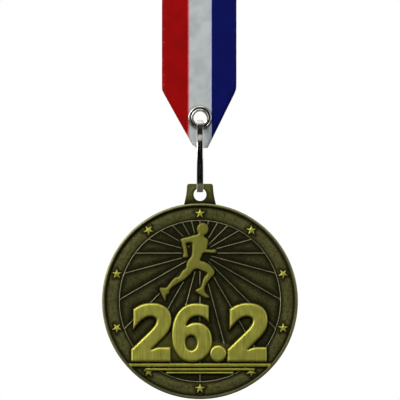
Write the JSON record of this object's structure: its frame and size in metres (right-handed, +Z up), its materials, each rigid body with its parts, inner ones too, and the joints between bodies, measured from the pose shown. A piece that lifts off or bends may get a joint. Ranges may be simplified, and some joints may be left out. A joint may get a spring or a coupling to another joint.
{
  "type": "sports finisher medal",
  "caption": "Round antique-gold cast medal with a runner and distance numerals in relief, hung from a split ring, eyelet and striped neck ribbon.",
  "frame": {"origin": "the hook point, at the middle of the inside of the neck loop's top", "axes": "+Z up along the ribbon, the medal's face looks along -Y, +X to the right of someone looking at the face"},
  "size_m": [0.06, 0.0222, 0.2044],
  "materials": {
    "antique_gold": "antiqued cast brass, brushed high spots, dark recesses",
    "ring_steel": "nickel plated spring steel",
    "eyelet_nickel": "nickel plated brass",
    "ribbon_cloth": "woven satin ribbon in red, white and blue stripes",
    "tie_elastic": "matt elastic band"
  },
  "bodies": {
    "ribbon": {"ribbon_front_strap": "ribbon_cloth", "ribbon_rear_strap": "ribbon_cloth", "ribbon_hank": "ribbon_cloth", "ribbon_neck_loop": "ribbon_cloth", "hank_band": "tie_elastic", "eyelet": "eyelet_nickel", "eyelet_washer": "eyelet_nickel"},
    "ring": {"split_ring": "ring_steel"},
    "medal": {"medallion": "antique_gold"}
  },
  "joints": [
    {"name": "ring_swing", "type": "hinge", "parent": "ribbon", "child": "ring", "pos_m": [0, 0, -0.11781], "axis": [0, 1, 0], "range_deg": [-90, 90]},
    {"name": "medal_tilt", "type": "hinge", "parent": "ring", "child": "medal", "pos_m": [0, 0, -0.13874], "axis": [1, 0, 0], "range_deg": [-60, 60]}
  ]
}
